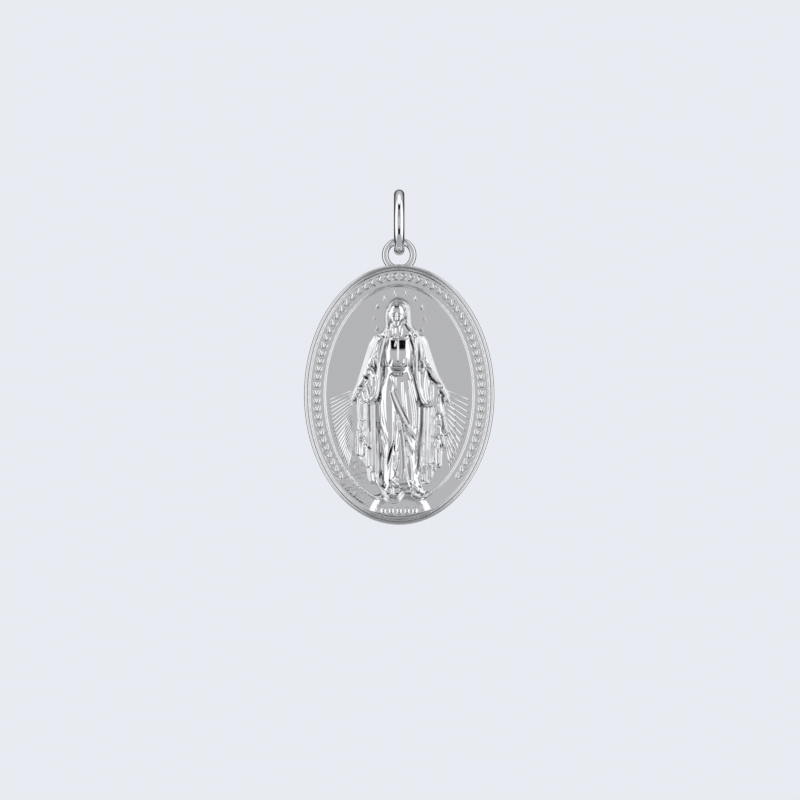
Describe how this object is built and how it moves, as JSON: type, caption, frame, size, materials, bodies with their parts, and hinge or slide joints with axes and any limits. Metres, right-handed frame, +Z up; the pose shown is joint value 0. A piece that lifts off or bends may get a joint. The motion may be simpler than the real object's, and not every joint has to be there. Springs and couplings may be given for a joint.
{
  "type": "religious medal pendant",
  "caption": "Oval cast silver medal with a robed figure in relief, rays, stars and a wreath, hung by its eye from a round jump ring.",
  "frame": {"origin": "inside the top of the jump ring, where a chain bears", "axes": "+Z up as it hangs, the figured front towards -Y, the chain running along X"},
  "size_m": [0.019, 0.0066, 0.0335],
  "materials": {
    "cast_silver": "polished cast silver, satin field",
    "silver_wire": "polished silver wire"
  },
  "bodies": {
    "ring": {"jump_ring": "silver_wire"},
    "medal": {"medal": "cast_silver"}
  },
  "joints": [
    {"name": "medal_swing", "type": "hinge", "parent": "ring", "child": "medal", "pos_m": [0, 0, -0.005], "axis": [0, 1, 0], "range_deg": [-110, 110]}
  ]
}
